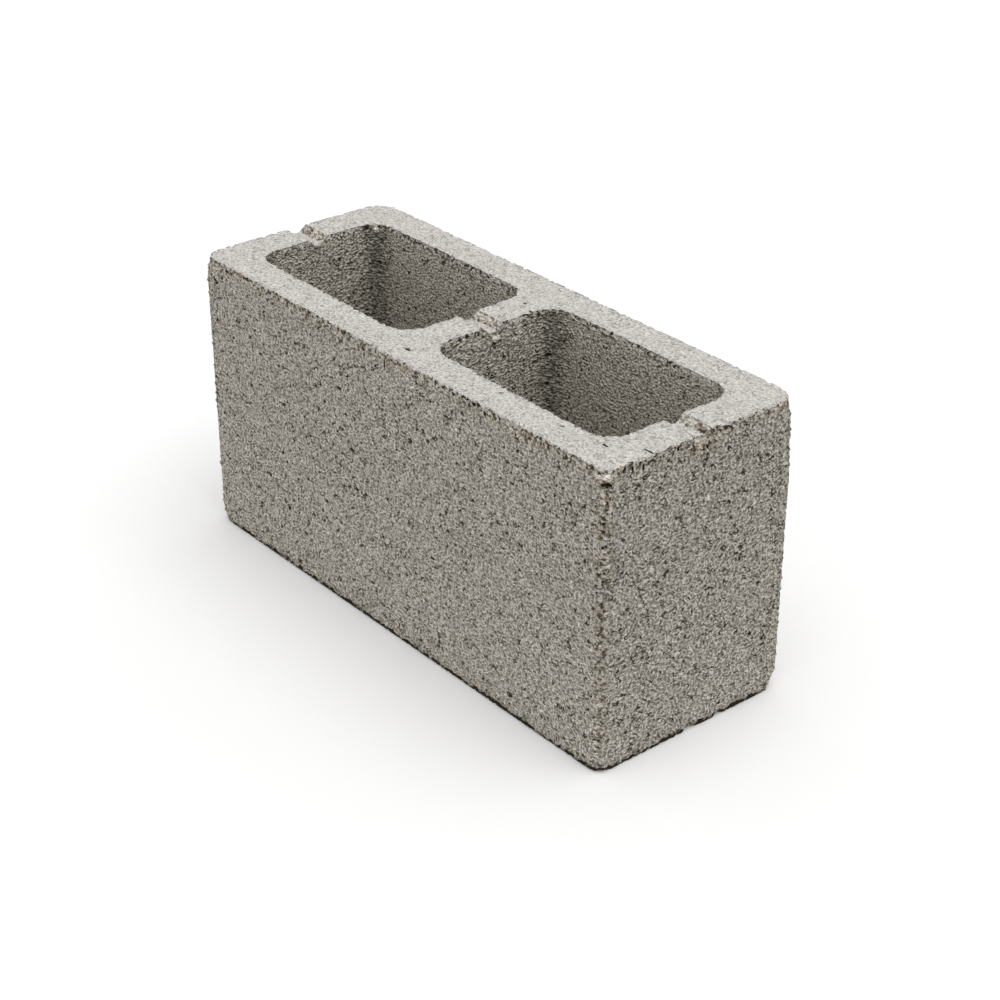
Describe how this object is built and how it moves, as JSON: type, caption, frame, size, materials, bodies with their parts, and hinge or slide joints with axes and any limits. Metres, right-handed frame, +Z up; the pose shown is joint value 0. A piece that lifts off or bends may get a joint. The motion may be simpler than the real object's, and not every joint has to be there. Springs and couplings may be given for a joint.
{
  "type": "concrete block",
  "caption": "Hollow concrete masonry block with straight-through tapered cells and a core-bar groove across its webs, for mortared walls.",
  "frame": {"origin": "centre of the bottom bed face, on the surface that the block stands on", "axes": "+X along the block's length, +Y through its width, +Z up, as the block leaves its mould"},
  "size_m": [0.4, 0.15, 0.2],
  "materials": {
    "concrete": "raw dry-pressed concrete, warm light grey, open granular texture"
  },
  "bodies": {
    "root": {"concrete_block": "concrete"}
  },
  "joints": []
}
